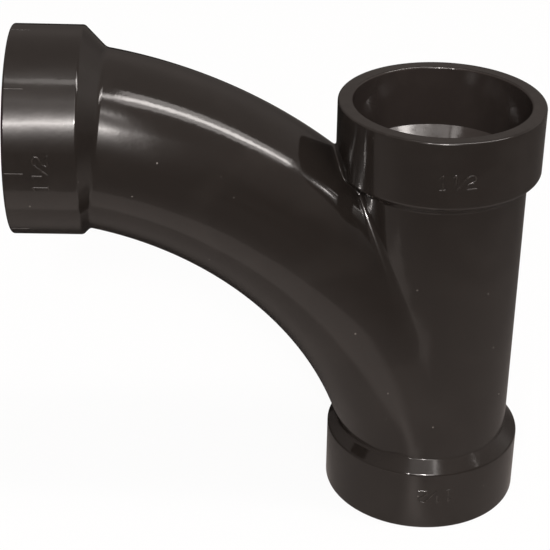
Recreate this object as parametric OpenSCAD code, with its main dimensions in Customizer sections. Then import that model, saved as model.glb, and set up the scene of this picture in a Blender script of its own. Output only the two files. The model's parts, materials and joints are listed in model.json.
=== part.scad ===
// Long-turn tee-wye drain fitting: a straight run with a sweeping side branch,
// and a solvent-weld pipe socket at each of its three mouths.
// +Z is up along the run, the origin is the centre of the outlet's mouth,
// and the branch leaves towards -X. Sizes are in millimetres.

/* [Sockets] */
// Outside diameter of the pipe that the sockets take
pipe_od = 48.26; // [38:0.01:60]
// Wall of that pipe: the waterway continues the pipe's bore
pipe_wall = 3.68; // [2.5:0.01:5]
// Room between the pipe and the socket's wall, on the radius
pipe_clearance = 0.17; // [0.05:0.01:0.4]
// Depth of a socket, from its mouth to its pipe stop
socket_depth = 17.8; // [14:0.1:24]
// Wall of a hub, around its socket
hub_wall = 4.2; // [3.4:0.1:6]
// Length of hub behind the pipe stop, before the taper starts
stop_land = 1.4; // [0.8:0.1:3]
// Rounding of the inner and outer edge of a mouth
mouth_round = 0.7; // [0.3:0.1:1.5]

/* [Run] */
// Wall of the run's barrel
barrel_wall = 4.45; // [3.6:0.05:5.5]
// Length of the taper between a run hub and the barrel
run_taper = 3.2; // [2:0.1:6]
// Height of whole wall between the sweep's crown and the inlet's pipe stop
crown_land = 10.1; // [8:0.1:30]

/* [Sweep] */
// Radius of the sweep's centreline
sweep_r = 122; // [100:0.5:150]
// How far the centreline's full quarter turn would pass the run's axis
sweep_past = 2.8; // [0:0.1:6]
// Height above the outlet's pipe stop at which the sweep's underside reaches the line of the run's bore
toe_land = 0.4; // [0.2:0.1:10]
// How much less radius the sweep has than the run, inside and outside
sweep_step = 0.2; // [0.1:0.05:1]
// Fall of the branch towards the run, in degrees
branch_fall = 1.2; // [0:0.1:3]
// Angle between the taper behind the branch hub and the branch's axis
branch_taper = 45; // [35:1:60]

/* [Alignment ticks] */
// Number of ticks around the branch hub
tick_count = 8; // [4:1:24]
// Length of a tick along the hub
tick_len = 4.8; // [2:0.1:10]
// Width of a tick
tick_w = 0.5; // [0.3:0.1:1.5]
// Height of a tick above the hub
tick_rise = 0.3; // [0.2:0.05:0.8]

/* [Hidden] */
$fn = 96;
abs_black = "#2a2624";

// Radii about the run and about the sweep's centreline
socket_r = pipe_od / 2 + pipe_clearance;
hub_r = socket_r + hub_wall;
water_r = pipe_od / 2 - pipe_wall;
barrel_r = water_r + barrel_wall;
sweep_water_r = water_r - sweep_step;
sweep_barrel_r = barrel_r - sweep_step;

hub_len = socket_depth + stop_land;
shoulder_len = stop_land + run_taper;

// Slope of the cone behind a socket, from the socket's wall to the waterway's
stop_slope = (socket_r - water_r) / shoulder_len;

// Height above the sweep's centre at which a circle of radius r meets the waterway's wall
function rise(r) = sqrt(pow(r, 2) - pow(arc_x + water_r, 2));

// Centre of the sweep's arc, set by where its underside lands above the outlet's pipe stop
arc_x = sweep_past - sweep_r;
arc_z = socket_depth + toe_land - rise(sweep_r - sweep_water_r);

// The run is as long as the sweep's crown and the inlet above it need
crown_z = arc_z + rise(sweep_r + sweep_water_r);
run_len = crown_z + crown_land + socket_depth;

// The sweep ends inside the run, where its centreline crosses the run's axis
sweep_end = asin(-arc_x / sweep_r);

// Centre of the branch's mouth, where the arc has the branch's fall
mouth_x = arc_x + sweep_r * sin(branch_fall);
mouth_z = arc_z + sweep_r * cos(branch_fall);

// Distance from the branch's mouth at which the taper has run out into the top of the sweep
taper_slope = tan(branch_taper);
taper_top = hub_r + taper_slope * hub_len + sweep_r;
sweep_top = sweep_r + sweep_barrel_r;
taper_end = (taper_top * taper_slope
    - sqrt(pow(taper_slope * sweep_top, 2) + pow(sweep_top, 2) - pow(taper_top, 2)))
    / (pow(taper_slope, 2) + 1);

// The branch shoulder takes in the whole taper and ends square to the branch's axis
taper_margin = 1;
shoulder_end = taper_end + taper_margin;

// Long enough to reach past every piece of the fitting
far = 2 * (run_len + sweep_r);

// Places a piece at the inlet's mouth, pointing down into the run
module at_inlet() { translate([0, 0, run_len]) mirror([0, 0, 1]) children(); }

// Places a piece at the branch's mouth, pointing along the branch's axis into the sweep
module at_branch() {
    translate([mouth_x, 0, mouth_z]) rotate([0, 90 + branch_fall, 0]) children();
}

// Section of a hub's wall, with both edges of the mouth rounded
module hub_section() {
    translate([socket_r, mouth_round]) square([hub_wall, socket_depth - mouth_round]);
    translate([socket_r + mouth_round, 0]) square([hub_wall - 2 * mouth_round, 2 * mouth_round]);
    for (x = [socket_r + mouth_round, hub_r - mouth_round])
        translate([x, mouth_round]) circle(r = mouth_round);
}

// Ring around one socket, from its mouth to its pipe stop
module hub() { rotate_extrude() hub_section(); }

// Ring between a run hub and the barrel: the cone inside it narrows the socket to the waterway,
// and the pipe stops against its wide end
module run_shoulder() {
    translate([0, 0, socket_depth])
        rotate_extrude()
            polygon([[socket_r, 0], [hub_r, 0], [hub_r, stop_land],
                [barrel_r, shoulder_len], [water_r, shoulder_len]]);
}

// Outer form of the whole run as one solid
module run_form() {
    barrel_end = hub_len + run_taper;
    rotate_extrude()
        polygon([[0, 0], [hub_r, 0], [hub_r, hub_len], [barrel_r, barrel_end],
            [barrel_r, run_len - barrel_end], [hub_r, run_len - hub_len], [hub_r, run_len],
            [0, run_len]]);
}

// Solid bend of radius r along the sweep's arc, from ahead of the branch's mouth to the run's axis
module bend(r) {
    translate([arc_x, 0, arc_z])
        rotate([90, 0, 0])
            rotate([0, 0, 90 - sweep_end])
                rotate_extrude(angle = sweep_end) translate([sweep_r, 0]) circle(r = r);
}

// Outer form of the branch hub and its taper, carried on to the taper's point inside the sweep
module branch_taper_form() {
    at_branch()
        rotate_extrude()
            polygon([[0, 0], [hub_r, 0], [hub_r, hub_len], [0, hub_len + hub_r / taper_slope]]);
}

// Waterway of the branch: the bend, and the cone behind the socket carried on to its point
module branch_waterway() {
    bend(sweep_water_r);
    at_branch()
        translate([0, 0, socket_depth])
            cylinder(r1 = socket_r, r2 = 0, h = socket_r / stop_slope);
}

// All that lies between two distances from the branch's mouth
module branch_slab(from, to) {
    at_branch() translate([0, 0, from]) cylinder(r = far, h = to - from);
}

module inlet_hub() { color(abs_black) at_inlet() hub(); }

module inlet_shoulder() { color(abs_black) at_inlet() run_shoulder(); }

module outlet_hub() { color(abs_black) hub(); }

// The toe of the sweep's waterway runs out in this ring
module outlet_shoulder() {
    color(abs_black)
        difference() {
            run_shoulder();
            bend(sweep_water_r);
        }
}

module run_barrel() {
    barrel_from = socket_depth + shoulder_len;
    color(abs_black)
        difference() {
            translate([0, 0, barrel_from])
                rotate_extrude()
                    translate([water_r, 0]) square([barrel_wall, run_len - 2 * barrel_from]);
            bend(sweep_water_r);
        }
}

module branch_hub() { color(abs_black) at_branch() hub(); }

// Ring between the branch hub and the sweep, as behind a run hub but with a longer taper
module branch_shoulder() {
    color(abs_black)
        difference() {
            intersection() {
                union() {
                    branch_taper_form();
                    bend(sweep_barrel_r);
                }
                branch_slab(socket_depth, shoulder_end);
            }
            branch_waterway();
        }
}

// One half of the sweep's shell, on one side of the plane through the run and the branch
module sweep_half(side) {
    color(abs_black)
        difference() {
            bend(sweep_barrel_r);
            branch_slab(-far, shoulder_end);
            branch_waterway();
            run_form();
            translate([-far, side < 0 ? 0 : -far, -far]) cube([2 * far, far, 2 * far]);
        }
}

module sweep_front_half() { sweep_half(-1); }

module sweep_back_half() { sweep_half(1); }

// Raised ticks on the branch hub, behind the rounded edge of its mouth
module branch_alignment_ticks() {
    tick_angle = 180 / PI * tick_w / hub_r;
    color(abs_black)
        for (i = [0 : tick_count - 1])
            at_branch()
                rotate([0, 0, i * 360 / tick_count - tick_angle / 2])
                    rotate_extrude(angle = tick_angle)
                        translate([hub_r, mouth_round]) square([tick_rise, tick_len]);
}

inlet_hub();
inlet_shoulder();
run_barrel();
outlet_shoulder();
outlet_hub();
branch_hub();
branch_shoulder();
sweep_front_half();
sweep_back_half();
branch_alignment_ticks();
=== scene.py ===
import json
import math

import bpy
import numpy as np
from mathutils import Matrix, Vector


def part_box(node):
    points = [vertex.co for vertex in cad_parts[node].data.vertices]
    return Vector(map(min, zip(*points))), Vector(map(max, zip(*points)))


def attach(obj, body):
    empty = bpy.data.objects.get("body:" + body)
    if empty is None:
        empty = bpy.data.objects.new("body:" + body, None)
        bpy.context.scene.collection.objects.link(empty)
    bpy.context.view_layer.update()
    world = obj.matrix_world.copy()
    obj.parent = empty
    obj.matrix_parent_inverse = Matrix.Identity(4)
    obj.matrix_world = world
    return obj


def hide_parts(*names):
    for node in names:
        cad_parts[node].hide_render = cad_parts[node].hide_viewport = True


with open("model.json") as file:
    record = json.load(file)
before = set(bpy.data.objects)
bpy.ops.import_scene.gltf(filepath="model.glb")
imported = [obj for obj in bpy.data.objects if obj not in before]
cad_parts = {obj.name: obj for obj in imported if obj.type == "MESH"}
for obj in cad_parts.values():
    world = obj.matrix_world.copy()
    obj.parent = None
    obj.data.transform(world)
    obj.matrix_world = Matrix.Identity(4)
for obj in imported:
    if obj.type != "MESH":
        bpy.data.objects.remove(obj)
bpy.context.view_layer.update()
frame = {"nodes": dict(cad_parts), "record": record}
print("frame loaded,", len(frame["nodes"]), "nodes")

scene = bpy.context.scene
mm = 0.001                       # shapes are worked out in millimetres, meshes are in metres
mergeSteps = 1e4                 # per millimetre: points on the same step become one
noAngle = 1e-5                   # what counts as no angle, in radians
noLength = 1e-6                  # and as no length, in millimetres
upward = np.array([0.0, 0.0, 1.0])
levelOnly = np.array([1.0, 1.0, 0.0])
mirror = np.array([1.0, -1.0, 1.0])


def nodeBox(node):
    low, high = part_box(node)
    return np.array(low) / mm, np.array(high) / mm


mounts = {mount["name"]: mount for mount in frame["record"]["mounts"]}
branchMount = mounts["branch_socket"]

# The straight run: heights above the outlet's mouth, radii about the Z axis
run = {
    "hubR": nodeBox("outlet_hub")[1][0],
    "socketR": branchMount["dims"]["r_mm"],
    "barrelR": nodeBox("run_barrel")[1][0],
    "waterR": 20.45,
    "socketEnd": nodeBox("outlet_shoulder")[0][2],
    "barrelFrom": nodeBox("run_barrel")[0][2],
    "barrelTo": nodeBox("run_barrel")[1][2],
    "length": nodeBox("inlet_hub")[1][2],
    "landLength": 1.4,           # straight bit of hub behind the pipe stop
    "edgeRound": 1.2,            # rounding of a hub's inner edge
    "footRound": 0.4,            # hollow where the taper meets the barrel
    "stopLength": 3.4,           # of the cone inside, between the socket and the waterway
    "columns": 192,              # mesh columns around a ring
    "roundSteps": 12,            # points along a rounding
}

# The sweep: a bend about a level axis, in the plane through the run and the branch
sweep = {
    "radius": 122.0,             # of its centreline
    "pastAxis": 2.8,             # how far the full quarter turn would pass the run's axis
    "outerR": 24.7,
    "waterR": 20.25,
    "startAt": 26.18,            # distance from the branch's mouth where the bend takes over from the taper
    "turnLimit": 77.0,           # degrees of turn at which the bend is inside the run
    "columns": 220,
    "skinRows": 90,
    "skinCrowding": 1.3,         # above 1, rows gather towards the run
    "boreRows": 60,
    "filletRows": 12,
    "contactRows": 6,
    "softSteps": 60,
    "softReach": (3.0, 6.0),     # around the outlet's and the inlet's taper
}

branchAxis = -np.array(branchMount["axis"])          # points into the fitting
branchUp = np.array([-branchAxis[2], 0.0, branchAxis[0]])
branchFall = math.asin(-branchAxis[2])
centreX = sweep["pastAxis"] - sweep["radius"]
mouthUp = np.dot(branchMount["pos_m"], branchUp) / mm    # how far up its own slope the branch lies
centreZ = (mouthUp - sweep["radius"] - centreX * branchUp[0]) / branchUp[2]
sweepCentre = np.array([centreX, 0.0, centreZ])
branchMouth = sweepCentre + sweep["radius"] * branchUp


# Small helpers for grids of points

def unit(vectors):
    return vectors / np.linalg.norm(vectors, axis=-1, keepdims=True)


def dots(a, b):
    return np.sum(a * b, axis=-1)


def mirrored(vectors):
    return vectors * mirror


def bothSides(half):             # a front half grid, carried on around the back to where it began
    return np.concatenate([half, mirrored(half[:, -2::-1])], axis=1)


def flatEnds(*grids):            # puts both ends of front half grids exactly on the middle plane
    for grid in grids:
        grid[:, 0, 1] = grid[:, -1, 1] = 0.0


def bisect(low, high, isLow, steps=52):        # where isLow changes from true to false, for whole arrays
    low, high = np.broadcast_arrays(low, high)
    low, high = low.astype(float), high.astype(float)
    for step in range(steps):
        middle = (low + high) / 2
        keep = isLow(middle)
        low = np.where(keep, middle, low)
        high = np.where(keep, high, middle)
    return low


def roundedLine(corners, radii, steps):
    points = [np.array(corners[0], float)]
    for before, corner, after, radius in zip(corners, corners[1:], corners[2:], radii):
        corner = np.array(corner, float)
        back = unit(np.array(before) - corner)
        ahead = unit(np.array(after) - corner)
        half = math.acos(np.dot(back, ahead)) / 2
        centre = corner + unit(back + ahead) * radius / math.sin(half)
        first = corner + back * radius / math.tan(half) - centre
        last = corner + ahead * radius / math.tan(half) - centre
        turn = math.pi - 2 * half
        for step in range(steps + 1):
            share = step / steps
            weights = math.sin((1 - share) * turn), math.sin(share * turn)
            points.append(centre + (first * weights[0] + last * weights[1]) / math.sin(turn))
    points.append(np.array(corners[-1], float))
    return np.array(points)


# Meshes: a patch is a grid of points, the true surface's normals there, and the slot of its material.
# With those normals neighbouring pieces shade as the one moulding they are
outside, inside = 0, 1


def patchFaces(points, normals, start):
    rows, columns = points.shape[:2]
    index = np.arange(rows * columns).reshape(rows, columns)
    quads = np.stack([index[:-1, :-1], index[:-1, 1:], index[1:, 1:], index[1:, :-1]], -1).reshape(-1, 4)
    flat, flatNormals = points.reshape(-1, 3), normals.reshape(-1, 3)
    facing = np.cross(flat[quads[:, 2]] - flat[quads[:, 0]], flat[quads[:, 3]] - flat[quads[:, 1]])
    if dots(facing, flatNormals[quads].mean(axis=1)).sum() < 0:
        quads = quads[:, ::-1]
    return quads + start, flatNormals[quads]


def buildMesh(name, patches, caps=()):
    points, quads, normals, slots = [], [], [], []
    start = 0
    for grid, gridNormals, slot in patches:
        faces, faceNormals = patchFaces(grid, np.broadcast_to(gridNormals, grid.shape), start)
        points.append(grid.reshape(-1, 3))
        quads.extend(faces.tolist())
        normals.extend(faceNormals.tolist())
        slots.extend([slot] * len(faces))
        start += grid.shape[0] * grid.shape[1]
    for outline, normal in caps:
        turn = np.cross(outline, np.roll(outline, -1, axis=0)).sum(axis=0)
        order = list(range(start, start + len(outline)))
        quads.append(order if np.dot(turn, normal) > 0 else order[::-1])
        normals.append([list(normal)] * len(outline))
        slots.append(outside)
        points.append(outline)
        start += len(outline)
    points = np.concatenate(points)
    keys = np.round(points * mergeSteps).astype(np.int64)
    _, first, place = np.unique(keys, axis=0, return_index=True, return_inverse=True)
    place = place.reshape(-1)
    faces, loopNormals, faceSlots = [], [], []
    for quad, quadNormals, slot in zip(quads, normals, slots):
        corners = [place[v] for v in quad]
        kept = [k for k in range(len(corners)) if corners[k] != corners[k - 1]]
        if len(kept) > 2:
            faces.append([int(corners[k]) for k in kept])
            loopNormals.extend(quadNormals[k] for k in kept)
            faceSlots.append(slot)
    mesh = bpy.data.meshes.new(name)
    mesh.from_pydata((points[first] * mm).tolist(), [], faces)
    # Slot 1, the inside, takes the bore's lighter colour, painted fill light in the shade
    for material in (mouldedAbs, borePaintedFillAbs):
        mesh.materials.append(material)
    mesh.polygons.foreach_set("material_index", faceSlots)
    mesh.shade_smooth()
    mesh.normals_split_custom_set(loopNormals)
    return mesh


def addPiece(name, mesh, node=None):
    piece = bpy.data.objects.new(name, mesh)
    scene.collection.objects.link(piece)
    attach(piece, "root")
    if node:
        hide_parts(node)


def addShell(name, node, patches, caps=()):
    addPiece(name, buildMesh(name, patches, caps), node)


def shellPatches(outer, outerNormals, inner, innerNormals, startNormal):
    flatEnds(outer, inner)
    outer, outerNormals, inner, innerNormals = map(bothSides, (outer, outerNormals, inner, innerNormals))
    return [
        (outer, outerNormals, outside),
        (inner, innerNormals, inside),
        (np.stack([outer[0], inner[0]]), startNormal, outside),
        (np.stack([outer[-1], inner[-1]]), -startNormal, outside),
    ]


def flippedPatches(patches, flip, shift=0.0):
    return [(grid * flip + shift, np.broadcast_to(normals, grid.shape) * flip, slot)
            for grid, normals, slot in patches]


# Node helpers: sockets go by name, with _ for a space, or by number as i0, i1 and so on.
# A node given as a value is linked by its first output

def addNode(tree, kind, settings=None, **values):
    node = tree.nodes.new(kind)
    for key, value in (settings or {}).items():
        setattr(node, key, value)
    for key, value in values.items():
        socket = node.inputs[int(key[1:])] if key[1:].isdigit() else node.inputs[key.replace("_", " ")]
        if isinstance(value, bpy.types.Node):
            tree.links.new(value.outputs[0], socket)
        elif isinstance(value, bpy.types.NodeSocket):
            tree.links.new(value, socket)
        else:
            socket.default_value = value
    return node


def mathNode(tree, operation, a, b=0.0):
    return addNode(tree, "ShaderNodeMath", {"operation": operation}, i0=a, i1=b)


def plus(tree, a, b):
    return mathNode(tree, "ADD", a, b)


def minus(tree, a, b):
    return mathNode(tree, "SUBTRACT", a, b)


def times(tree, a, b):
    return mathNode(tree, "MULTIPLY", a, b)


def rampNode(tree, value, low, high, toLow=0.0, toHigh=1.0):
    return addNode(tree, "ShaderNodeMapRange", {"interpolation_type": "SMOOTHSTEP"},
                   i0=value, i1=low, i2=high, i3=toLow, i4=toHigh)


# Geometry Nodes helpers

def newTree(name, inputs):
    tree = bpy.data.node_groups.new(name, "GeometryNodeTree")
    for side in ("INPUT", "OUTPUT"):
        tree.interface.new_socket("Geometry", in_out=side, socket_type="NodeSocketGeometry")
    for label, kind in {**inputs, "Material": "Material"}.items():
        tree.interface.new_socket(label, in_out="INPUT", socket_type="NodeSocket" + kind)
    return tree, tree.nodes.new("NodeGroupInput").outputs


def closeTree(tree, sizes, geometry):
    realized = addNode(tree, "GeometryNodeRealizeInstances", i0=geometry)
    painted = addNode(tree, "GeometryNodeSetMaterial", Geometry=realized, Material=sizes["Material"])
    addNode(tree, "NodeGroupOutput", Geometry=painted)
    return tree


def runTree(name, tree, values, data=None):    # a plain mesh, made from the tree's own parts or from data
    carrier = bpy.data.objects.new(name, data or bpy.data.meshes.new(name))
    scene.collection.objects.link(carrier)
    modifier = carrier.modifiers.new("shape", "NODES")
    modifier.node_group = tree
    for item in tree.interface.items_tree:
        if item.item_type == "SOCKET" and item.in_out == "INPUT" and item.name in values:
            modifier[item.identifier] = values[item.name]
    bpy.context.view_layer.update()
    evaluated = carrier.evaluated_get(bpy.context.evaluated_depsgraph_get())
    mesh = bpy.data.meshes.new_from_object(evaluated)
    bpy.data.objects.remove(carrier)
    mesh.materials.clear()                     # drops the empty slots that a tree's parts bring along
    mesh.materials.append(values["Material"])
    mesh.polygons.foreach_set("material_index", [0] * len(mesh.polygons))
    return mesh


# Shader helpers

def newShading(owner):           # an empty node tree for a material or the world
    owner.use_nodes = True
    owner.node_tree.nodes.clear()
    return owner.node_tree


def newGroup(name, inputs, outputs):           # an effect takes a place and a few numbers
    tree = bpy.data.node_groups.new(name, "ShaderNodeTree")
    tree.interface.new_socket("Place", in_out="INPUT", socket_type="NodeSocketVector")
    for side, labels in (("INPUT", inputs), ("OUTPUT", outputs)):
        for label in labels:
            tree.interface.new_socket(label, in_out=side, socket_type="NodeSocketFloat")
    return tree, tree.nodes.new("NodeGroupInput").outputs


def groupNode(tree, group, **values):
    return addNode(tree, "ShaderNodeGroup", {"node_tree": group}, **values).outputs


def noiseNode(tree, place, scale, detail, roughness=0.5, distortion=0.0):
    return addNode(tree, "ShaderNodeTexNoise", Vector=place, Scale=scale, Detail=detail,
                   Roughness=roughness, Distortion=distortion)


def mixNode(tree, share, first, second):
    return addNode(tree, "ShaderNodeMix", {"data_type": "RGBA"}, i0=share, i6=first, i7=second).outputs[2]


# Effects that the materials share. A range is where a mask rises from none to full
effects = {
    "peelDetail": 2.0, "waveDetail": 1.0,
    "smearDetail": 4.0, "smearRoughness": 0.6, "smearDistortion": 0.8, "smearRange": (0.42, 0.72),
    "speckRange": (0.78, 1.0),
    "rubDetail": 3.0, "rubRoughness": 0.65, "rubRange": (0.40, 0.66),
}


# Skin of the moulding: a fine orange peel over slow waves
def makeMouldSkin():
    tree, given = newGroup("mouldSkin", ["Peel Scale", "Wave Scale", "Wave Share"], ["Height"])
    peel = noiseNode(tree, given["Place"], given["Peel Scale"], effects["peelDetail"])
    wave = noiseNode(tree, given["Place"], given["Wave Scale"], effects["waveDetail"])
    addNode(tree, "NodeGroupOutput", Height=plus(tree, peel, times(tree, wave, given["Wave Share"])))
    return tree


# Handling: cloudy smears that dull the gloss
def makeHandlingSmear():
    tree, given = newGroup("handlingSmear", ["Scale", "Polished", "Smeared"], ["Roughness", "Mask"])
    cloud = noiseNode(tree, given["Place"], given["Scale"], effects["smearDetail"],
                      effects["smearRoughness"], effects["smearDistortion"])
    mask = rampNode(tree, cloud, *effects["smearRange"])
    span = minus(tree, given["Smeared"], given["Polished"])
    rough = plus(tree, given["Polished"], times(tree, mask, span))
    addNode(tree, "NodeGroupOutput", Roughness=rough, Mask=mask)
    return tree


# Dust: sparse pale specks of uneven size
def makeDustSpecks():
    tree, given = newGroup("dustSpecks", ["Scale", "Size"], ["Mask"])
    cells = addNode(tree, "ShaderNodeTexVoronoi", Vector=given["Place"], Scale=given["Scale"]).outputs
    shade = addNode(tree, "ShaderNodeSeparateColor", i0=cells["Color"])
    reach = times(tree, given["Size"], rampNode(tree, shade, *effects["speckRange"]))
    close = mathNode(tree, "LESS_THAN", cells["Distance"], reach)
    addNode(tree, "NodeGroupOutput", Mask=times(tree, close, shade))
    return tree


# Rubbing: edges that have lost their shine in patches
def makeRubbedEdge():
    tree, given = newGroup("rubbedEdge", ["Scale", "Edge"], ["Mask"])
    cloud = noiseNode(tree, given["Place"], given["Scale"], effects["rubDetail"], effects["rubRoughness"])
    patches = rampNode(tree, cloud, *effects["rubRange"])
    addNode(tree, "NodeGroupOutput", Mask=times(tree, patches, given["Edge"]))
    return tree


mouldSkin = makeMouldSkin()
handlingSmear = makeHandlingSmear()
dustSpecks = makeDustSpecks()
rubbedEdge = makeRubbedEdge()

# Black ABS as it leaves the mould. Scales are in cycles per metre, heights in metres
skinLook = {
    "name": "mouldedAbs",
    "base": (0.0137, 0.0113, 0.0099, 1.0),
    "smear": (0.0168, 0.0140, 0.0123, 1.0),
    "dust": (0.135, 0.124, 0.113, 1.0),
    "ior": 1.54,
    "polished": 0.075, "smeared": 0.13, "smearScale": 46.0,
    "peelScale": 700.0, "waveScale": 70.0, "waveShare": 10.0, "bump": 0.06, "bumpHeight": 0.0002,
    "dustScale": 300.0, "dustSize": 0.08, "dustDull": 0.4,
    "wearScale": 380.0, "wornPale": 0.04, "wornDull": 0.10,
}
# The bore: lighter than the skin, as painted fill light that lifts the shade inside the sockets and the
# waterway
borePaintedFillLook = {
    **skinLook,
    "name": "borePaintedFillAbs",
    "base": (0.0271, 0.0221, 0.0201, 1.0),
    "smear": (0.0316, 0.0260, 0.0237, 1.0),
    "polished": 0.09, "smeared": 0.15,
}
# Ticks and size marks: lighter than the skin, most of all in the smears, as painted sheen on the raised
# strokes
markPaintedSheenLook = {
    **skinLook,
    "name": "markPaintedSheenAbs",
    "base": (0.0169, 0.0142, 0.0124, 1.0),
    "smear": (0.0305, 0.0260, 0.0235, 1.0),
    "polished": 0.09, "smeared": 0.19, "smearScale": 420.0,
    "bump": 0.03, "dustSize": 0.02,
}


def makeAbs(look):
    material = bpy.data.materials.new(look["name"])
    tree = newShading(material)
    place = addNode(tree, "ShaderNodeTexCoord").outputs["Object"]
    wear = addNode(tree, "ShaderNodeAttribute", {"attribute_name": "edgeWear"}).outputs["Fac"]
    smear = groupNode(tree, handlingSmear, Place=place, Scale=look["smearScale"],
                      Polished=look["polished"], Smeared=look["smeared"])
    dust = groupNode(tree, dustSpecks, Place=place, Scale=look["dustScale"], Size=look["dustSize"])["Mask"]
    rub = groupNode(tree, rubbedEdge, Place=place, Scale=look["wearScale"], Edge=wear)["Mask"]
    skin = groupNode(tree, mouldSkin, Place=place, Peel_Scale=look["peelScale"],
                     Wave_Scale=look["waveScale"], Wave_Share=look["waveShare"])["Height"]
    tinted = mixNode(tree, smear["Mask"], look["base"], look["smear"])
    pale = mathNode(tree, "MAXIMUM", dust, times(tree, rub, look["wornPale"]))
    colour = mixNode(tree, pale, tinted, look["dust"])
    dull = plus(tree, times(tree, rub, look["wornDull"]), times(tree, dust, look["dustDull"]))
    rough = plus(tree, smear["Roughness"], dull)
    bump = addNode(tree, "ShaderNodeBump", Strength=look["bump"], Distance=look["bumpHeight"], Height=skin)
    shader = addNode(tree, "ShaderNodeBsdfPrincipled", Base_Color=colour, Roughness=rough, IOR=look["ior"],
                     Normal=bump)
    addNode(tree, "ShaderNodeOutputMaterial", Surface=shader)
    return material


mouldedAbs = makeAbs(skinLook)
borePaintedFillAbs = makeAbs(borePaintedFillLook)
markPaintedSheenAbs = makeAbs(markPaintedSheenLook)
print("materials made")


# Outer form of the run: radius by height, with its hub edges rounded
landEnd = run["socketEnd"] + run["landLength"]
taperFrom = landEnd - run["footRound"] / 2            # leaves room for the hollow at the taper's foot
taperTo = run["barrelFrom"] - run["footRound"] / 2
overrun = 10.0                   # carries the form on past both mouths
runProfile = roundedLine(
    [(-overrun, run["hubR"]), (taperFrom, run["hubR"]), (taperTo, run["barrelR"]),
     (run["length"] - taperTo, run["barrelR"]), (run["length"] - taperFrom, run["hubR"]),
     (run["length"] + overrun, run["hubR"])],
    [run["edgeRound"], run["footRound"], run["footRound"], run["edgeRound"]], run["roundSteps"])


def runRadius(z):
    return np.interp(z, runProfile[:, 0], runProfile[:, 1])


def runSlope(z):
    reach = 0.04
    return (runRadius(z + reach) - runRadius(z - reach)) / (2 * reach)


# A point of the run, by its angle from the branch's side and its height, on the front
def runPoint(angle, z, radius=None):
    radius = runRadius(z) if radius is None else radius
    angle, z, radius = np.broadcast_arrays(angle, z, radius)
    return np.stack([-radius * np.cos(angle), -radius * np.sin(angle), z], -1)


def runNormal(angle, z):
    slope = runSlope(z)
    angle, slope = np.broadcast_arrays(angle, slope)
    return unit(np.stack([-np.cos(angle), -np.sin(angle), -slope], -1))


# A point of the bend, by how far it has turned and its angle from the crown, on the front
def bendPoint(turn, angle, radius):
    out = sweep["radius"] + radius * np.cos(angle)
    return np.stack([centreX + out * np.sin(turn), -radius * np.sin(angle), centreZ + out * np.cos(turn)], -1)


def bendNormal(turn, angle):
    return np.stack([np.cos(angle) * np.sin(turn), -np.sin(angle), np.cos(angle) * np.cos(turn)], -1)


def bendGap(points, radius):
    out = np.hypot(points[..., 0] - centreX, points[..., 2] - centreZ) - sweep["radius"]
    return np.hypot(out, points[..., 1]) - radius


def bendPlace(points):
    x, z = points[..., 0] - centreX, points[..., 2] - centreZ
    return np.arctan2(x, z), np.arctan2(-points[..., 1], np.hypot(x, z) - sweep["radius"])


# Angle at which a level circle around the run leaves the bend, 0 where it never enters it
def leavingAngle(z, circleR, bendR):
    z, circleR = np.broadcast_arrays(z, circleR)
    found = bisect(np.zeros(z.shape), np.full(z.shape, math.pi / 2),
                   lambda angle: bendGap(runPoint(angle, z, circleR), bendR) < 0)
    return np.where(found < noAngle, 0.0, found)


# Where the bend's skin meets the run: a line from the crotch around the front to the belly
junction = {
    "crotchFrom": 0.7,           # share of the run's length that the crotch lies above
    "bellyReach": (-6.0, 20.0),  # around the barrel's foot, where the belly lands
    "tracePoints": 3000,
    "crowding": ((4.0, 9.0), (3.0, 3.0)),      # how much and how far, at the inlet's and the outlet's taper
}


def sideGap(z):                  # from the bend to the run's side that faces the branch
    return bendGap(runPoint(0.0, z), sweep["outerR"])


def junctionLine(columns):
    low, high = (run["barrelFrom"] + reach for reach in junction["bellyReach"])
    bottom = float(bisect(low, high, lambda z: sideGap(z) > 0))
    top = float(bisect(run["length"] * junction["crotchFrom"], run["length"], lambda z: sideGap(z) < 0))

    def onLine(turn):            # from 0 at the crotch to a half turn at the belly
        heights = (top + bottom) / 2 + (top - bottom) / 2 * np.cos(turn)
        return leavingAngle(heights, runRadius(heights), sweep["outerR"]), heights
    turns = np.linspace(0, math.pi, junction["tracePoints"])
    angles, heights = onLine(turns)
    steps = np.linalg.norm(np.diff(runPoint(angles, heights), axis=0), axis=1)
    crowding = np.ones(len(steps))
    for taper, (extra, reach) in zip((run["barrelTo"], run["barrelFrom"]), junction["crowding"]):
        crowding += extra * np.exp(-((heights[1:] - taper) / reach) ** 2)
    along = np.concatenate([[0], np.cumsum(steps * crowding)])
    angles, heights = onLine(np.interp(np.linspace(0, along[-1], columns), along, turns))
    angles[0] = angles[-1] = 0.0
    return angles, heights


# Half width of the hollow along that line, by height: tightest at the belly, widest half way up
fillet = {
    "heights": (20.0, 23.0, 30.0, 42.0, 54.0, 65.0, 74.0, 86.0, 96.0, 101.0, 112.0),
    "widths": (0.6, 0.8, 1.8, 3.2, 4.0, 3.4, 2.8, 2.2, 1.8, 1.9, 2.2),
}


def alongLine(vectors):          # rate of change along the columns, mirrored at both ends
    first, last = mirrored(vectors[..., 1:2, :]), mirrored(vectors[..., -2:-1, :])
    padded = np.concatenate([first, vectors, last], axis=-2)
    return (padded[..., 2:, :] - padded[..., :-2, :]) / 2


def lengthShare(line):           # how far along its line each point lies, from 0 to 1
    along = np.concatenate([[0], np.cumsum(np.linalg.norm(np.diff(line, axis=0), axis=1))])
    return along / along[-1]


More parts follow.
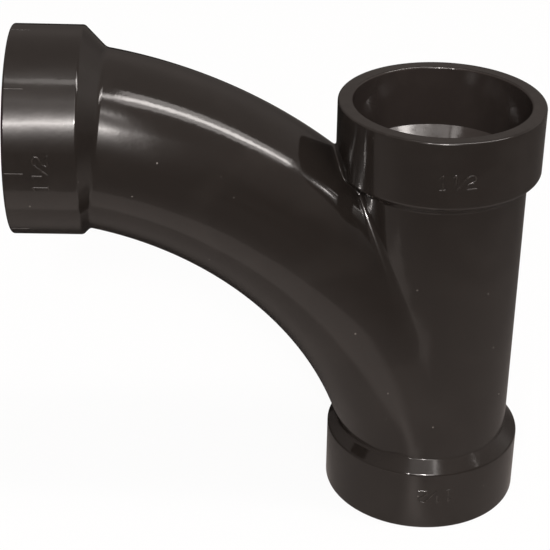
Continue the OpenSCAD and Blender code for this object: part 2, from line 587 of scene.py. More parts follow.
def softened(values, heights):   # evens out an edge line where it steps from a taper to the barrel
    even = values.copy()
    for step in range(sweep["softSteps"]):
        even[1:-1] = (even[:-2] + 2 * even[1:-1] + even[2:]) / 4
    ends = zip((run["barrelFrom"], run["barrelTo"]), sweep["softReach"])
    share = sum(np.exp(-((heights - end) / reach) ** 4) for end, reach in ends)
    return values + (even - values) * share


def bendAxes(turn, around):      # ahead along the bend, and around it
    ahead = np.stack([np.cos(turn), 0 * turn, -np.sin(turn)], -1)
    side = np.stack([-np.sin(around) * np.sin(turn), -np.cos(around), -np.sin(around) * np.cos(turn)], -1)
    return ahead, side


def runAxes(angles, heights):    # around the run, and up its skin
    slope = runSlope(heights)
    level = np.stack([np.sin(angles), -np.cos(angles), 0 * angles], -1)
    rising = unit(np.stack([-slope * np.cos(angles), -slope * np.sin(angles), 1 + 0 * slope], -1))
    return level, rising


# The hollow between the bend and the run, with the places of its edge on each of them
def makeHollow():
    angles, heights = junctionLine(sweep["columns"])
    corner = runPoint(angles, heights)
    turn, around = bendPlace(corner)
    around[0], around[-1] = 0.0, math.pi
    width = np.interp(heights, fillet["heights"], fillet["widths"])
    tangent = unit(alongLine(corner))
    offBend = np.cross(tangent, bendNormal(turn, around))        # along the bend, away from the run
    offRun = np.cross(runNormal(angles, heights), tangent)       # along the run, away from the bend

    # Edge on the bend
    goAhead, goSide = (dots(offBend, axis) for axis in bendAxes(turn, around))
    edgeTurn = turn + width * goAhead / (sweep["radius"] + sweep["outerR"] * np.cos(around))
    edgeAround = around + width * goSide / sweep["outerR"]
    edgeTurn, edgeAround = softened(edgeTurn, heights), softened(edgeAround, heights)
    edgeAround[0], edgeAround[-1] = 0.0, math.pi
    edgeAhead, edgeSide = bendAxes(edgeTurn, edgeAround)
    bendEdge = bendPoint(edgeTurn, edgeAround, sweep["outerR"])
    intoCorner = -(goAhead[:, None] * edgeAhead + goSide[:, None] * edgeSide)

    # Edge on the run
    level, rising = runAxes(angles, heights)
    goLevel, goRising = dots(offRun, level), dots(offRun, rising)
    edgeAngles = angles + width * goLevel / runRadius(heights)
    edgeHeights = heights + width * goRising * rising[:, 2]
    edgeAngles, edgeHeights = softened(edgeAngles, heights), softened(edgeHeights, heights)
    edgeAngles[0] = edgeAngles[-1] = 0.0
    edgeLevel, edgeRising = runAxes(edgeAngles, edgeHeights)
    runEdge = runPoint(edgeAngles, edgeHeights)
    outOfCorner = goLevel[:, None] * edgeLevel + goRising[:, None] * edgeRising

    # A cubic from edge to edge that leaves both surfaces smoothly
    share = np.linspace(0, 1, sweep["filletRows"])[:, None, None]
    square, cube = share**2, share**3
    pull = 2 * width[None, :, None]
    hollow = ((2 * cube - 3 * square + 1) * bendEdge + (cube - 2 * square + share) * pull * intoCorner
              + (3 * square - 2 * cube) * runEdge + (cube - square) * pull * outOfCorner)
    across = ((6 * square - 6 * share) * bendEdge + (3 * square - 4 * share + 1) * pull * intoCorner
              + (6 * share - 6 * square) * runEdge + (3 * square - 2 * share) * pull * outOfCorner)
    normals = unit(np.cross(alongLine(hollow), across))
    hollow[0], hollow[-1] = bendEdge, runEdge
    if dots(normals[0], bendNormal(edgeTurn, edgeAround)).sum() < 0:
        normals = -normals
    normals[0] = bendNormal(edgeTurn, edgeAround)
    normals[-1] = runNormal(edgeAngles, edgeHeights)
    return hollow, normals, (edgeTurn, edgeAround), (edgeAngles, edgeHeights)


def makeSweepHalf():
    hollow, hollowNormals, (edgeTurn, edgeAround), (edgeAngles, edgeHeights) = makeHollow()
    evenly = np.linspace(0, math.pi, sweep["columns"])

    def startTurn(radius):       # where the branch's taper ends
        return branchFall + np.arcsin(sweep["startAt"] / (sweep["radius"] + radius * np.cos(evenly)))

    # Skin from the branch's taper to the hollow
    share = (1 - (1 - np.linspace(0, 1, sweep["skinRows"])) ** sweep["skinCrowding"])[:, None]
    skinStart = startTurn(sweep["outerR"])
    skinTurn = skinStart + (edgeTurn - skinStart) * share
    skinAround = evenly + (edgeAround - evenly) * share**3
    skin = bendPoint(skinTurn, skinAround, sweep["outerR"])
    skin[-1] = hollow[0]

    # Bore from the branch's taper to the run's outer wall
    boreStart = startTurn(sweep["waterR"])

    def outsideRun(turn, around):
        level = bendPoint(turn, around, sweep["waterR"])[..., :2]
        return dots(level, level) > run["barrelR"] ** 2

    def reachRun(around):
        return bisect(boreStart, math.radians(sweep["turnLimit"]), lambda turn: outsideRun(turn, around))
    wallLine = bendPoint(reachRun(evenly), evenly, sweep["waterR"])
    matched = np.interp(lengthShare(hollow[-1]), lengthShare(wallLine), evenly)
    share = np.linspace(0, 1, sweep["boreRows"])[:, None]
    boreTurn = boreStart + (reachRun(matched) - boreStart) * share
    boreAround = evenly + (matched - evenly) * share
    bore = bendPoint(boreTurn, boreAround, sweep["waterR"])

    # Face against the run, between the hollow's edge and the bore
    endAngles = np.arctan2(-bore[-1, :, 1], -bore[-1, :, 0])
    share = np.linspace(0, 1, sweep["contactRows"])[:, None]
    faceAngles = edgeAngles + (endAngles - edgeAngles) * share
    faceHeights = edgeHeights + (bore[-1, :, 2] - edgeHeights) * share
    face = runPoint(faceAngles, faceHeights)
    face[0], face[-1] = hollow[-1], bore[-1]

    flatEnds(skin, hollow, face, bore)
    patches = [
        (skin, bendNormal(skinTurn, skinAround), outside),
        (hollow, hollowNormals, outside),
        (face, -runNormal(faceAngles, faceHeights), outside),
        (bore, -bendNormal(boreTurn, boreAround), inside),
        (np.stack([skin[0], bore[0]]), -branchAxis, outside),
    ]
    caps = []
    for column in (0, -1):       # where the two halves meet
        outline = [skin[:, column], hollow[1:, column], face[1:, column], bore[-2::-1, column]]
        caps.append((np.concatenate(outline), np.array([0.0, 1.0, 0.0])))
    return patches, caps, skin[0]


sweepPatches, sweepCaps, sweepStart = makeSweepHalf()
backCaps = [(mirrored(outline), mirrored(normal)) for outline, normal in sweepCaps]
addShell("sweepFrontHalf", "sweep_front_half", sweepPatches, sweepCaps)
addShell("sweepBackHalf", "sweep_back_half", flippedPatches(sweepPatches, mirror), backCaps)
print("sweep built")


# Barrel of the run, with the opening through which the sweep's water comes in
barrel = {"rows": 54, "wallSteps": 8}


def makeBarrel():
    radii = np.linspace(run["barrelR"], run["waterR"], barrel["wallSteps"] + 1)
    crowns, bellies = (centreZ + np.sqrt((sweep["radius"] + reach) ** 2 - (radii + centreX) ** 2)
                       for reach in (sweep["waterR"], -sweep["waterR"]))
    # A row wherever the opening's edge crosses a wall step
    heights = np.concatenate([
        [run["barrelFrom"]], bellies[bellies > run["barrelFrom"]][:0:-1],
        np.linspace(bellies[0], crowns[-1], barrel["rows"]), crowns[-2::-1], [run["barrelTo"]]])
    start = leavingAngle(heights[:, None], radii[None, :], sweep["waterR"])
    share = np.linspace(0, 1, run["columns"] // 2 + 1)

    def ringAngles(first):
        angles = first[:, None] + (math.pi - first[:, None]) * share
        angles[:, -1] = math.pi
        return angles

    def onWall(angles, heights, radii):
        points = runPoint(angles, heights, radii)
        points[np.abs(points[..., 1]) < noLength, 1] = 0.0
        return points
    outer = onWall(ringAngles(start[:, 0]), heights[:, None], run["barrelR"])
    inner = onWall(ringAngles(start[:, -1]), heights[:, None], run["waterR"])
    edge = onWall(start, heights[:, None], radii[None, :])
    edgeNormals = -bendNormal(*bendPlace(edge))
    patches = [(outer, unit(outer * levelOnly), outside), (inner, -unit(inner * levelOnly), inside)]
    for row in range(len(heights) - 1):        # only the part of the wall that the opening cuts
        for step in range(barrel["wallSteps"]):
            cell = slice(row, row + 2), slice(step, step + 2)
            cutHere = start[cell] > 0
            if cutHere.sum() == 1:             # three corners at the opening's end make a triangle
                corners = edge[cell].copy()
                far = tuple(1 - place for place in np.argwhere(cutHere)[0])
                corners[far] = corners[far[0], 1 - far[1]]
                patches.append((corners, edgeNormals[cell], inside))
            elif cutHere.any():
                patches.append((edge[cell], edgeNormals[cell], inside))
    for row, normal in ((0, -upward), (-1, upward)):
        ring = onWall(ringAngles(start[row]), heights[row], radii[:, None])
        patches.append((ring, normal, outside))
    return patches + flippedPatches(patches, mirror)


addShell("runBarrel", "run_barrel", makeBarrel())
print("barrel built")


# Shoulders of the run: outside the rounded taper, inside the cone that stops the pipe
shoulder = {"coneRows": 6, "boreRows": 3}
stopSlope = (run["socketR"] - run["waterR"]) / run["stopLength"]


def makeRunShoulder(atInlet):
    angles = np.linspace(0, math.pi, run["columns"] // 2 + 1)
    between = (runProfile[:, 0] > run["socketEnd"]) & (runProfile[:, 0] < run["barrelFrom"])
    heights = np.concatenate([[run["socketEnd"]], runProfile[between, 0], [run["barrelFrom"]]])[:, None]
    coneEnd = run["socketEnd"] + run["stopLength"]
    coneHeights = np.concatenate([np.linspace(run["socketEnd"], coneEnd, shoulder["coneRows"]),
                                  np.linspace(coneEnd, run["barrelFrom"], shoulder["boreRows"])])[:, None]
    tilt = np.repeat([stopSlope, 0.0], [shoulder["coneRows"], shoulder["boreRows"]])[:, None]
    cone = np.maximum(run["socketR"] - stopSlope * (coneHeights - run["socketEnd"]), run["waterR"])
    inner = runPoint(angles, coneHeights, cone)
    innerNormals = -unit(inner * levelOnly)
    innerNormals[..., 2] = -tilt
    innerNormals = unit(innerNormals)
    if not atInlet:              # the toe of the sweep's waterway runs out in this ring
        reach = bisect(cone + 0 * angles, run["barrelR"],
                       lambda radius: bendGap(runPoint(angles, coneHeights, radius), sweep["waterR"]) < 0)
        cut = reach > cone + noLength
        inner = runPoint(angles, coneHeights, reach)
        innerNormals = np.where(cut[..., None], -bendNormal(*bendPlace(inner)), innerNormals)
    patches = shellPatches(runPoint(angles, heights), runNormal(angles, heights),
                           inner, innerNormals, -upward)
    if atInlet:
        return flippedPatches(patches, np.array([1.0, 1.0, -1.0]), run["length"] * upward)
    return patches


addShell("outletShoulder", "outlet_shoulder", makeRunShoulder(False))
addShell("inletShoulder", "inlet_shoulder", makeRunShoulder(True))


# Shoulder of the branch: a longer taper that runs out into the bend
branchTaper = {"slope": 1.0, "blend": 0.6, "rows": 60, "coneRows": 16, "search": (5.0, 40.0)}


def branchPoint(along, angle, radius):
    along, angle, radius = np.broadcast_arrays(along, angle, radius)
    side = np.array([0.0, -1.0, 0.0])
    return (branchMouth + along[..., None] * branchAxis
            + (radius * np.cos(angle))[..., None] * branchUp + (radius * np.sin(angle))[..., None] * side)


def bendReach(along, angle, bendR):            # how far the bend reaches from the branch's axis
    low, high = (limit + 0 * (along + angle) for limit in branchTaper["search"])
    return bisect(low, high, lambda radius: bendGap(branchPoint(along, angle, radius), bendR) < 0)


taperEdge = roundedLine([(0, run["hubR"]), (landEnd, run["hubR"]),
                         (landEnd + run["hubR"] / branchTaper["slope"], 0)],
                        [run["edgeRound"]], run["roundSteps"])


def taperRadius(along, angle):
    taper = np.interp(along, taperEdge[:, 0], taperEdge[:, 1])
    reach = bendReach(along, angle, sweep["outerR"])
    near = np.maximum(branchTaper["blend"] - np.abs(taper - reach), 0)
    return np.maximum(taper, reach) + near**2 / (4 * branchTaper["blend"])


def socketRadius(along, angle):
    cone = run["socketR"] - stopSlope * (along - run["socketEnd"])
    return np.maximum(cone, bendReach(along, angle, sweep["waterR"]))


def surfaceNormals(radiusAt, along, angle, step=0.02):
    turn = step / run["hubR"]
    place = [branchPoint(a, b, radiusAt(a, b)) for a, b in
             ((along + step, angle), (along - step, angle), (along, angle + turn), (along, angle - turn))]
    normals = unit(np.cross(place[2] - place[3], place[0] - place[1]))
    middle = branchPoint(along, angle, 0.0)
    outward = dots(normals, branchPoint(along, angle, radiusAt(along, angle)) - middle)
    return normals * np.sign(outward)[..., None]


def makeBranchShoulder():
    offset = sweepStart - branchMouth
    angles = np.arctan2(-offset[:, 1], offset @ branchUp)
    angles[0], angles[-1] = 0.0, math.pi
    along, coneAlong = (np.linspace(run["socketEnd"], sweep["startAt"], branchTaper[rows])[:, None]
                        for rows in ("rows", "coneRows"))
    outer = branchPoint(along, angles, taperRadius(along, angles))
    inner = branchPoint(coneAlong, angles, socketRadius(coneAlong, angles))
    return shellPatches(outer, surfaceNormals(taperRadius, along, angles),
                        inner, -surfaceNormals(socketRadius, coneAlong, angles), -branchAxis)


addShell("branchShoulder", "branch_shoulder", makeBranchShoulder())
print("shoulders built")


# Hubs: one ring with a rounded mouth, placed at the three ends
hub = {
    "mouthRound": 0.7, "roundSteps": 7,
    "boreEdge": 0.3, "wearReach": 1.4,         # shares of that rounding: to where the bore's lighter colour with painted fill light begins, and worn
    "backWithin": 0.001,                       # what counts as on the hub's flat back
}


def makeHubTree():
    tree, sizes = newTree("hubRing", {"Socket Radius": "Float", "Outer Radius": "Float", "Length": "Float",
                                      "Mouth Rounding": "Float", "Columns": "Int", "Round Steps": "Int"})
    wall = minus(tree, sizes["Outer Radius"], sizes["Socket Radius"])
    middle = times(tree, plus(tree, sizes["Outer Radius"], sizes["Socket Radius"]), 0.5)
    path = addNode(tree, "GeometryNodeCurvePrimitiveCircle", Resolution=sizes["Columns"], Radius=middle)
    section = addNode(tree, "GeometryNodeCurvePrimitiveQuadrilateral", Width=wall, Height=sizes["Length"])
    across = addNode(tree, "ShaderNodeSeparateXYZ", i0=addNode(tree, "GeometryNodeInputPosition"))
    atMouth = mathNode(tree, "GREATER_THAN", across.outputs[1], 0.0)
    rounded = addNode(tree, "GeometryNodeFilletCurve", {"mode": "POLY"}, Curve=section,
                      Radius=times(tree, atMouth, sizes["Mouth Rounding"]), Count=sizes["Round Steps"])
    ring = addNode(tree, "GeometryNodeCurveToMesh", Curve=path, Profile_Curve=rounded)
    shift = addNode(tree, "ShaderNodeCombineXYZ", Z=times(tree, sizes["Length"], 0.5))
    placed = addNode(tree, "GeometryNodeTransform", Geometry=ring, Translation=shift)
    return closeTree(tree, sizes, placed)


hubTree = makeHubTree()


def hubNormals(mesh):
    rim = hub["mouthRound"] * mm
    innerRim, outerRim = run["socketR"] * mm + rim, run["hubR"] * mm - rim
    back = (run["socketEnd"] - hub["backWithin"]) * mm
    normals = []
    for polygon in mesh.polygons:
        atBack = all(mesh.vertices[v].co.z > back for v in polygon.vertices)
        for v in polygon.vertices:
            if atBack:
                normals.append(Vector(upward))
                continue
            place = mesh.vertices[v].co
            radius = math.hypot(place.x, place.y)
            outward = Vector((place.x / radius, place.y / radius, 0))
            lean = radius - min(max(radius, innerRim), outerRim)
            drop = min(place.z - rim, 0)
            normals.append((outward * lean + Vector((0, 0, drop))).normalized())
    return normals


def addHub(name, node, place):
    rim = hub["mouthRound"] * mm
    mesh = runTree(name, hubTree, {
        "Socket Radius": run["socketR"] * mm, "Outer Radius": run["hubR"] * mm,
        "Length": run["socketEnd"] * mm, "Mouth Rounding": rim,
        "Columns": run["columns"], "Round Steps": hub["roundSteps"], "Material": mouldedAbs})
    normals = hubNormals(mesh)
    if sum(polygon.normal.dot(normals[polygon.loop_start]) for polygon in mesh.polygons) < 0:
        mesh.flip_normals()
        normals = hubNormals(mesh)
    mesh.materials.append(borePaintedFillAbs)
    # Faces in the bore take its lighter colour, painted fill light in the shade
    reach = run["socketR"] * mm + hub["boreEdge"] * rim
    mesh.polygons.foreach_set("material_index", [
        inside if math.hypot(*polygon.center[:2]) < reach else outside for polygon in mesh.polygons])
    wear = mesh.attributes.new("edgeWear", "FLOAT", "POINT")
    wear.data.foreach_set("value", [max(0.0, 1 - v.co.z / (hub["wearReach"] * rim)) for v in mesh.vertices])
    mesh.transform(place)
    mesh.shade_smooth()
    mesh.normals_split_custom_set([place.to_3x3() @ normal for normal in normals])
    addPiece(name, mesh, node)


outletPlace = Matrix.Identity(4)
inletPlace = Matrix.Translation((0, 0, run["length"] * mm)) @ Matrix.Rotation(math.pi, 4, "X")
branchPlace = Matrix.Translation(Vector(branchMouth) * mm) @ Matrix.Rotation(math.pi / 2 + branchFall, 4, "Y")
addHub("outletHub", "outlet_hub", outletPlace)
addHub("inletHub", "inlet_hub", inletPlace)
addHub("branchHub", "branch_hub", branchPlace)
print("hubs built")


# Bar with a flattened round section, for the ticks and the strokes of the size marks
def barNode(tree, curve, sectionPoints, sectionRadius, width, height):
    circle = addNode(tree, "GeometryNodeCurvePrimitiveCircle", Resolution=sectionPoints, Radius=sectionRadius)
    flat = addNode(tree, "ShaderNodeCombineXYZ", X=height, Y=width, Z=1.0)
    section = addNode(tree, "GeometryNodeTransform", Geometry=circle, Scale=flat)
    return addNode(tree, "GeometryNodeCurveToMesh", Curve=curve, Profile_Curve=section, Fill_Caps=True)


# Raised ticks around the branch's mouth
ticks = {"count": 8, "length": 4.8, "width": 0.4, "rise": 0.13, "sectionPoints": 14}


def makeTickTree():
    tree, sizes = newTree("tickRing", {"Count": "Int", "Ring Radius": "Float", "Length": "Float",
                                       "Width": "Float", "Rise": "Float", "From": "Float"})
    end = addNode(tree, "ShaderNodeCombineXYZ", Z=sizes["Length"])
    line = addNode(tree, "GeometryNodeCurvePrimitiveLine", End=end)
    bar = barNode(tree, line, ticks["sectionPoints"], 1.0, times(tree, sizes["Width"], 0.5), sizes["Rise"])
    index = addNode(tree, "GeometryNodeInputIndex")
    angle = times(tree, index, mathNode(tree, "DIVIDE", math.tau, sizes["Count"]))
    spot = addNode(tree, "ShaderNodeCombineXYZ",
                   X=times(tree, mathNode(tree, "COSINE", angle), sizes["Ring Radius"]),
                   Y=times(tree, mathNode(tree, "SINE", angle), sizes["Ring Radius"]), Z=sizes["From"])
    turn = addNode(tree, "ShaderNodeCombineXYZ", Z=angle)
    points = addNode(tree, "GeometryNodePoints", Count=sizes["Count"], Position=spot)
    copies = addNode(tree, "GeometryNodeInstanceOnPoints", Points=points, Instance=bar, Rotation=turn)
    return closeTree(tree, sizes, copies)


tickMesh = runTree("branchTicks", makeTickTree(), {
    "Count": ticks["count"], "Ring Radius": run["hubR"] * mm, "Length": ticks["length"] * mm,
    "Width": ticks["width"] * mm, "Rise": ticks["rise"] * mm, "From": hub["mouthRound"] * mm,
    "Material": markPaintedSheenAbs})
tickMesh.transform(branchPlace)
addPiece("branchTicks", tickMesh, "branch_alignment_ticks")


# Raised size marks: plain numerals drawn as rounded strokes that follow the hub.
# Points are (reading direction, up) in millimetres from the middle of the mark's foot
mark = {
    "strokeWidth": 0.55, "rise": 0.24, "sectionPoints": 12, "strokePoints": 26, "sharpAngle": 50.0,
    "strokes": [
        [(-5.1, 3.3), (-4.1, 4.2), (-4.1, 0.0)],
        [(-4.9, -0.05), (-3.4, 0.1)],
        [(-1.5, 3.7), (-0.7, 4.3), (-0.7, 1.5)],
        [(-0.5, 0.0), (2.4, 3.7)],
        [(2.1, 3.0), (2.5, 3.7), (3.5, 4.1), (4.4, 3.7), (4.7, 3.0), (4.3, 2.4), (2.9, 1.7), (2.2, 1.0),
         (2.1, 0.1), (5.0, 0.1)],
    ],
}
# Height of a mark's foot above the mouth, and how many degrees it is turned from the front towards a side
markPlaces = {
    "inletMark": {"place": inletPlace, "foot": 13.4, "turned": 3.3, "towards": (1, 0, 0)},
    "outletMark": {"place": outletPlace, "foot": 13.5, "turned": 2.5, "towards": (1, 0, 0)},
    "branchMark": {"place": branchPlace, "foot": 11.9, "turned": 0.3, "towards": (0, 0, 1)},
}


def makeStrokeTree():
    tree, sizes = newTree("raisedStroke", {"Width": "Float"})
    smooth = addNode(tree, "GeometryNodeResampleCurve", Curve=sizes["Geometry"], Count=mark["strokePoints"])
    bar = barNode(tree, smooth, mark["sectionPoints"], 0.5, sizes["Width"], sizes["Width"])
    return closeTree(tree, sizes, bar)


strokeTree = makeStrokeTree()


def makeMark(name, place, foot, turned, towards):
    turned = math.radians(turned)
    facing = Vector(towards) * math.sin(turned) - Vector((0, 1, 0)) * math.cos(turned)
    local = place.to_3x3().inverted() @ facing
    middle = math.atan2(local.y, local.x)
    sunk = run["hubR"] + mark["rise"] - mark["strokeWidth"] / 2      # centre of the stroke's round section
    path = bpy.data.curves.new(name, "CURVE")
    path.dimensions = "3D"
    for stroke in mark["strokes"]:
        spline = path.splines.new("POLY")
        spline.points.add(len(stroke) - 1)
        for point, (across, up) in zip(spline.points, stroke):
            angle = middle - across / run["hubR"]
            point.co = (sunk * math.cos(angle) * mm, sunk * math.sin(angle) * mm, (foot - up) * mm, 1)
    mesh = runTree(name, strokeTree, {"Width": mark["strokeWidth"] * mm, "Material": markPaintedSheenAbs}, path)
    mesh.transform(place)
    mesh.shade_smooth()
    mesh.set_sharp_from_angle(angle=math.radians(mark["sharpAngle"]))
    return mesh


for name, spot in markPlaces.items():
    addPiece(name, makeMark(name, **spot))
print("ticks and size marks built")


# Floor: white to the camera, with a trace of the fitting's shadow. In the fitting's gloss it glows with
# painted light and shade: dim far away, a painted pool of light around the fitting, with a painted bright
# strip and a small painted gleam in front of it
floorLook = {
    "halfSize": 6.0, "pale": (0.95, 0.95, 0.95, 1.0), "seenWhite": 0.93,
    "far": 0.11, "farRight": 0.065, "rightFrom": 0.0, "rightTo": 0.26, "frontFrom": 0.0, "frontTo": -0.06,
    "strip": 0.23, "stripCentre": (-0.0845, -0.095),
    "stripHalf": (0.0755, 0.037), "stripSoft": (0.010, 0.005),
    "shade": 0.8, "shadeFrom": -0.01, "shadeTo": 0.05, "shadeEdge": 0.03,
}
# Painted pool of light and painted gleam on the floor, seen only in the fitting's gloss
floorPatches = {
    "pool": {"centre": (-0.03, -0.060), "reach": (0.28, 0.105), "lean": 0.0, "level": 0.235},
    "gleam": {"centre": (-0.008, -0.044), "reach": (0.005, 0.018), "lean": 0.3, "level": 0.48},
}
lightTint = (1.05, 0.99, 0.957)
roomTint = (1.05, 0.92, 0.855)
white = (1.0, 1.0, 1.0, 1.0)


def fadingNode(tree, away, level):
    return times(tree, mathNode(tree, "EXPONENT", times(tree, away, -1.0)), level)


def seenNode(tree, light):       # what the camera sees as it is, and not by its light
    return mathNode(tree, "MAXIMUM", light["Is Camera Ray"], light["Is Transmission Ray"])


def softPatch(tree, place, patch):
    x, y = (minus(tree, place[axis], patch["centre"][axis]) for axis in (0, 1))
    x = minus(tree, x, times(tree, y, patch["lean"]))
    x, y = (mathNode(tree, "DIVIDE", offset, reach) for offset, reach in zip((x, y), patch["reach"]))
    return fadingNode(tree, plus(tree, times(tree, x, x), times(tree, y, y)), patch["level"])


def paintedFloorLight(tree):
    look = floorLook
    place = addNode(tree, "ShaderNodeTexCoord").outputs["Object"]
    place = addNode(tree, "ShaderNodeSeparateXYZ", i0=place).outputs
    front = rampNode(tree, place[1], look["frontTo"], look["frontFrom"], 1.0, 0.0)
    right = rampNode(tree, place[0], look["rightFrom"], look["rightTo"])
    level = minus(tree, look["far"], times(tree, times(tree, front, right), look["far"] - look["farRight"]))
    for patch in floorPatches.values():
        level = plus(tree, softPatch(tree, place, patch), level)
    strip = look["strip"]
    for axis in (0, 1):
        offset = mathNode(tree, "ABSOLUTE", minus(tree, place[axis], look["stripCentre"][axis]))
        half, soft = look["stripHalf"][axis], look["stripSoft"][axis]
        strip = times(tree, rampNode(tree, offset, half - soft, half + soft, 1.0, 0.0), strip)
    level = plus(tree, level, strip)
    # Painted shadow of the bend, behind it on the left
    behind = rampNode(tree, place[1], look["shadeFrom"], look["shadeTo"], 0.0, look["shade"])
    left = rampNode(tree, place[0], -look["shadeEdge"], look["shadeEdge"], 1.0, 0.0)
    return times(tree, level, minus(tree, 1.0, times(tree, behind, left)))


def makeFloor():
    mesh = bpy.data.meshes.new("floor")
    size = floorLook["halfSize"]
    corners = [(-size, -size, 0), (size, -size, 0), (size, size, 0), (-size, size, 0)]
    mesh.from_pydata(corners, [], [(0, 1, 2, 3)])
    floor = bpy.data.objects.new("floor", mesh)
    scene.collection.objects.link(floor)
    material = bpy.data.materials.new("paleFloor")
    tree = newShading(material)
    light = addNode(tree, "ShaderNodeLightPath").outputs
    pale = addNode(tree, "ShaderNodeBsdfDiffuse", Color=floorLook["pale"])
    bright = addNode(tree, "ShaderNodeEmission", Color=white, Strength=1.0)
    # What the fitting's gloss sees: the floor glowing with its painted light and shade
    inGloss = addNode(tree, "ShaderNodeEmission", Color=(*roomTint, 1), Strength=paintedFloorLight(tree))
    seen = addNode(tree, "ShaderNodeMixShader", i0=floorLook["seenWhite"], i1=pale, i2=bright)
    around = addNode(tree, "ShaderNodeMixShader", i0=light["Is Glossy Ray"], i1=pale, i2=inGloss)
    mixed = addNode(tree, "ShaderNodeMixShader", i0=seenNode(tree, light), i1=around, i2=seen)
    addNode(tree, "ShaderNodeOutputMaterial", Surface=mixed)
    mesh.materials.append(material)


makeFloor()

# Soft lights on the walls of the room: angles in degrees, azimuth from the front towards +X.
# Each is even over its flat width and fades outside it, to the side and up and down
glows = {
    "front": {"azimuth": -0.5, "elevation": 32.3, "flat": 8.2, "fade": (2.6, 5.2), "level": 16.4,
              "lean": 0.36},
    "frontTop": {"azimuth": 2.0, "elevation": 54.0, "flat": 11.5, "fade": (2.0, 9.0), "level": 0.84},
    "frontEdge": {"azimuth": 18.5, "elevation": 54.0, "flat": 0.6, "fade": (1.2, 5.0), "level": 4.0},
    "top": {"azimuth": -20.0, "elevation": 80.0, "flat": 3.0, "fade": (8.0, 11.0), "level": 0.62},
    "right": {"azimuth": 105.0, "elevation": 18.0, "flat": 15.0, "fade": (14.0, 10.0), "level": 0.31},
}
room = {"horizon": 0.106, "ceiling": 0.275, "from": 0.05, "to": 0.55}
# A darker stretch of wall, to the right of the front
roomShade = {"azimuth": 42.0, "elevation": 10.0, "flat": 16.0, "fade": (14.0, 16.0), "level": 0.75}


def wayTo(azimuth, elevation):
    azimuth, elevation = math.radians(azimuth), math.radians(elevation)
    return Vector((math.sin(azimuth) * math.cos(elevation), -math.cos(azimuth) * math.cos(elevation),
                   math.sin(elevation)))


def glowNode(tree, way, glow):
    ahead = wayTo(glow["azimuth"], glow["elevation"])
    right = wayTo(glow["azimuth"] + 90, 0)
    up = right.cross(ahead) * -1
    across, upwards, forwards = (
        addNode(tree, "ShaderNodeVectorMath", {"operation": "DOT_PRODUCT"}, i0=way, i1=axis).outputs["Value"]
        for axis in (right, up, ahead))
    rise = minus(tree, upwards, times(tree, across, glow.get("lean", 0.0)))
    side = minus(tree, mathNode(tree, "ABSOLUTE", across), math.radians(glow["flat"]))
    side = mathNode(tree, "DIVIDE", mathNode(tree, "MAXIMUM", side, 0.0), math.radians(glow["fade"][0]))
    rise = mathNode(tree, "DIVIDE", rise, math.radians(glow["fade"][1]))
    away = plus(tree, side, mathNode(tree, "ABSOLUTE", rise))
    facing = mathNode(tree, "GREATER_THAN", forwards, 0.0)
    return times(tree, fadingNode(tree, away, glow["level"]), facing)


# Surroundings: white behind the fitting, a grey room in its reflections
def makeWorld():
    world = bpy.data.worlds.new("studio")
    scene.world = world
    tree = newShading(world)
    light = addNode(tree, "ShaderNodeLightPath").outputs
    way = addNode(tree, "ShaderNodeTexCoord").outputs["Generated"]
    height = addNode(tree, "ShaderNodeSeparateXYZ", i0=way).outputs[2]
    level = rampNode(tree, height, room["from"], room["to"], room["horizon"], room["ceiling"])
    level = times(tree, level, minus(tree, 1.0, glowNode(tree, way, roomShade)))
    walls = addNode(tree, "ShaderNodeBackground", Color=(*roomTint, 1), Strength=level)
    shine = 0.0
    for glow in glows.values():
        shine = plus(tree, glowNode(tree, way, glow), shine)
    lit = addNode(tree, "ShaderNodeBackground", Color=(*lightTint, 1), Strength=shine)
    surround = addNode(tree, "ShaderNodeAddShader", i0=walls, i1=lit)
    bright = addNode(tree, "ShaderNodeBackground", Color=white, Strength=1.0)
    mixed = addNode(tree, "ShaderNodeMixShader", i0=seenNode(tree, light), i1=surround, i2=bright)
    addNode(tree, "ShaderNodeOutputWorld", Surface=mixed)


makeWorld()

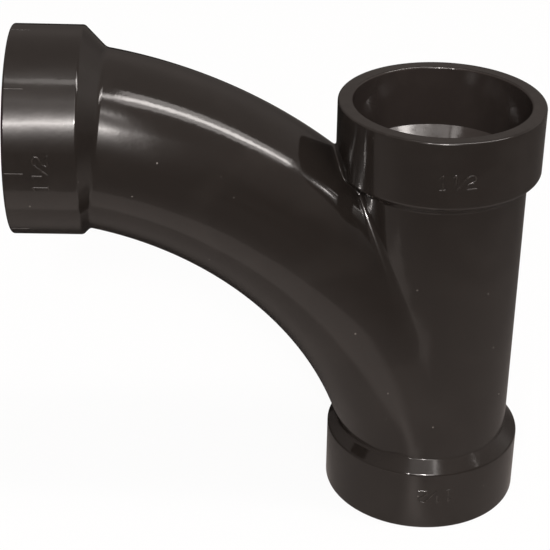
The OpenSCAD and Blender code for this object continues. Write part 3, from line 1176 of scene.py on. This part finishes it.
# Lamps: size in metres, brightness of the panel where white is 1.
# One with a place shines straight down, the others stand around the target
lampTarget = Vector((-0.045, 0.0, 0.075))
lamps = {
    "overheadPanel": {"at": (1.345, -0.335, 2.1), "size": (1.81, 0.65), "level": 3.4},
    "overheadCore": {"at": (1.30, -0.35, 2.05), "size": (1.8, 0.17), "level": 11.1},
    "overheadCoreEnd": {"at": (0.31, -0.42, 2.05), "size": (0.18, 0.17), "level": 6.2},
    "overheadEnd": {"at": (0.045, -0.50, 2.1), "size": (0.79, 0.20), "level": 1.9},
    "leftTop": {"azimuth": -54.0, "elevation": 73.0, "distance": 2.0, "size": (0.36, 0.16), "level": 3.7},
    "flash": {"azimuth": -0.5, "elevation": 33.0, "distance": 2.0, "size": (0.14, 0.14), "level": 170.0},
    "frontLeft": {"azimuth": -17.5, "elevation": 29.0, "distance": 2.0, "size": (0.06, 0.36), "level": 75.0},
}


def addLamp(name, lamp):
    data = bpy.data.lights.new(name, "AREA")
    data.shape = "RECTANGLE"
    data.size, data.size_y = lamp["size"]
    data.energy = lamp["level"] * math.pi * data.size * data.size_y
    data.color = lightTint
    obj = bpy.data.objects.new(name, data)
    scene.collection.objects.link(obj)
    if "at" in lamp:
        spot = Vector(lamp["at"])
        aim = Vector((spot.x, spot.y, 0.0))
    else:
        spot = lampTarget + wayTo(lamp["azimuth"], lamp["elevation"]) * lamp["distance"]
        aim = lampTarget
    obj.location = spot
    obj.rotation_euler = (aim - spot).to_track_quat("-Z", "Y").to_euler()
    obj.visible_camera = False


for name, lamp in lamps.items():
    addLamp(name, lamp)

# Camera: where it was fitted to stand, with angles in degrees
view = {
    "target": (-0.0450065, 0.0, 0.0696428), "distance": 0.461619,
    "azimuth": -1.8111, "elevation": 29.2029, "roll": 0.6884,
    "lens": 104.98, "sensor": 36.0, "clipStart": 0.01,
}


def addCamera():
    back = wayTo(view["azimuth"], view["elevation"])
    right = wayTo(view["azimuth"] + 90, 0)
    up = back.cross(right)
    turned = Matrix((right, up, back)).transposed() @ Matrix.Rotation(math.radians(view["roll"]), 3, "Z")
    data = bpy.data.cameras.new("camera")
    data.lens, data.sensor_width = view["lens"], view["sensor"]
    data.clip_start = view["clipStart"]
    camera = bpy.data.objects.new("camera", data)
    spot = Vector(view["target"]) + back * view["distance"]
    camera.matrix_world = Matrix.Translation(spot) @ turned.to_4x4()
    scene.collection.objects.link(camera)
    scene.camera = camera


addCamera()
scene.view_settings.view_transform = "Standard"
print("stage, lamps and camera placed")
